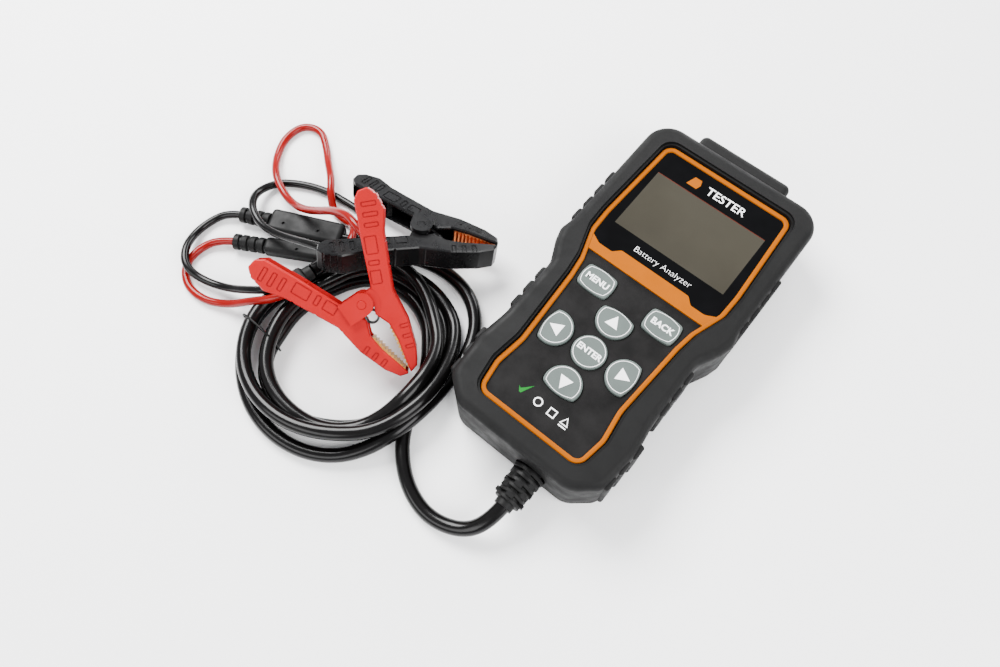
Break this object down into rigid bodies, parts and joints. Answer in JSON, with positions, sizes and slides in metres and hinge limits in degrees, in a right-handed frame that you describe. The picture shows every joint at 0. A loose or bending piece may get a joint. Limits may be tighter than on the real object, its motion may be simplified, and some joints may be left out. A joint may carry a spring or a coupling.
{
  "type": "battery tester",
  "caption": "Hand-held battery tester in a rubber boot, with a display, a keypad and a coiled cable that splits into two leads with spring clamps.",
  "frame": {"origin": "under the middle of the tester, on the surface it lies on", "axes": "+Y towards the display end, +Z out of the face, +X to the right of the keypad"},
  "size_m": [0.2753, 0.2667, 0.0635],
  "materials": {
    "boot_rubber": "matte",
    "case_black": "fine texture",
    "bezel_orange": "gloss",
    "window_black": "polished",
    "panel_grey": "fine grain",
    "key_grey": "satin",
    "lcd_glass": "dull",
    "white_plastic": "matte",
    "board_green": "solder mask",
    "steel": "plain",
    "can_blue": "sleeve",
    "label": "printed label",
    "cable_black": "gloss jacket",
    "lead_red": "gloss jacket",
    "clamp_red": "satin",
    "clamp_black": "satin",
    "jaw_brass": "plain",
    "pin_plastic": "satin"
  },
  "bodies": {
    "tester": {"backlight_tray": "white_plastic", "black_clamp_lead": "cable_black", "black_lead": "cable_black", "black_lead_arm": "clamp_black", "black_lead_jaw_strip": "jaw_brass", "black_spring": "steel", "board_chips": "case_black", "buzzer": "case_black", "cable_bar": "case_black", "cable_bar_screws": "steel", "cable_coil": "cable_black", "cable_gland": "cable_black", "cable_header": "white_plastic", "cable_run": "cable_black", "cable_splitter": "cable_black", "cable_tail": "cable_black", "capacitors": "can_blue", "display_window": "window_black", "flat_module": "cable_black", "front_housing": "case_black", "housing_screws": "steel", "key_switches": "steel", "keypad_panel": "panel_grey", "label_plate": "label", "lcd_panel": "lcd_glass", "load_resistor": "white_plastic", "main_board": "board_green", "orange_bezel": "bezel_orange", "rear_housing": "case_black", "red_clamp_lead": "lead_red", "red_lead": "lead_red", "red_lead_arm": "clamp_red", "red_lead_jaw_strip": "jaw_brass", "red_spring": "steel", "rubber_boot": "boot_rubber", "slim_module": "cable_black", "twist_tie": "cable_black", "usb_socket": "steel"},
    "key_menu_cap": {"key_menu": "key_grey"},
    "key_back_cap": {"key_back": "key_grey"},
    "key_up_cap": {"key_up": "key_grey"},
    "key_left_cap": {"key_left": "key_grey"},
    "key_down_cap": {"key_down": "key_grey"},
    "key_right_cap": {"key_right": "key_grey"},
    "key_enter_cap": {"key_enter": "key_grey"},
    "red_jaw": {"red_free_arm": "clamp_red", "red_free_jaw_strip": "jaw_brass", "red_pivot_pin": "pin_plastic"},
    "black_jaw": {"black_free_arm": "clamp_black", "black_free_jaw_strip": "jaw_brass", "black_pivot_pin": "pin_plastic"}
  },
  "joints": [
    {"name": "key_menu_press", "type": "slide", "parent": "tester", "child": "key_menu_cap", "axis": [0, 0, -1], "range_m": [0, 0.0008], "stiffness_N_per_m": 1200, "springref_m": -0.0004},
    {"name": "key_back_press", "type": "slide", "parent": "tester", "child": "key_back_cap", "axis": [0, 0, -1], "range_m": [0, 0.0008], "stiffness_N_per_m": 1200, "springref_m": -0.0004},
    {"name": "key_up_press", "type": "slide", "parent": "tester", "child": "key_up_cap", "axis": [0, 0, -1], "range_m": [0, 0.0008], "stiffness_N_per_m": 1200, "springref_m": -0.0004},
    {"name": "key_left_press", "type": "slide", "parent": "tester", "child": "key_left_cap", "axis": [0, 0, -1], "range_m": [0, 0.0008], "stiffness_N_per_m": 1200, "springref_m": -0.0004},
    {"name": "key_down_press", "type": "slide", "parent": "tester", "child": "key_down_cap", "axis": [0, 0, -1], "range_m": [0, 0.0008], "stiffness_N_per_m": 1200, "springref_m": -0.0004},
    {"name": "key_right_press", "type": "slide", "parent": "tester", "child": "key_right_cap", "axis": [0, 0, -1], "range_m": [0, 0.0008], "stiffness_N_per_m": 1200, "springref_m": -0.0004},
    {"name": "key_enter_press", "type": "slide", "parent": "tester", "child": "key_enter_cap", "axis": [0, 0, -1], "range_m": [0, 0.0008], "stiffness_N_per_m": 1200, "springref_m": -0.0004},
    {"name": "red_jaw_open", "type": "hinge", "parent": "tester", "child": "red_jaw", "pos_m": [-0.1025, -0.089, 0.0281], "axis": [-0.4198, 0.3679, -0.8297], "range_deg": [0, 22], "stiffness_Nm_per_rad": 0.8, "springref_deg": -34.38},
    {"name": "black_jaw_open", "type": "hinge", "parent": "tester", "child": "black_jaw", "pos_m": [-0.1104, -0.039, 0.0174], "axis": [-0.122, 0.3671, 0.9222], "range_deg": [0, 22], "stiffness_Nm_per_rad": 0.8, "springref_deg": -34.38}
  ]
}
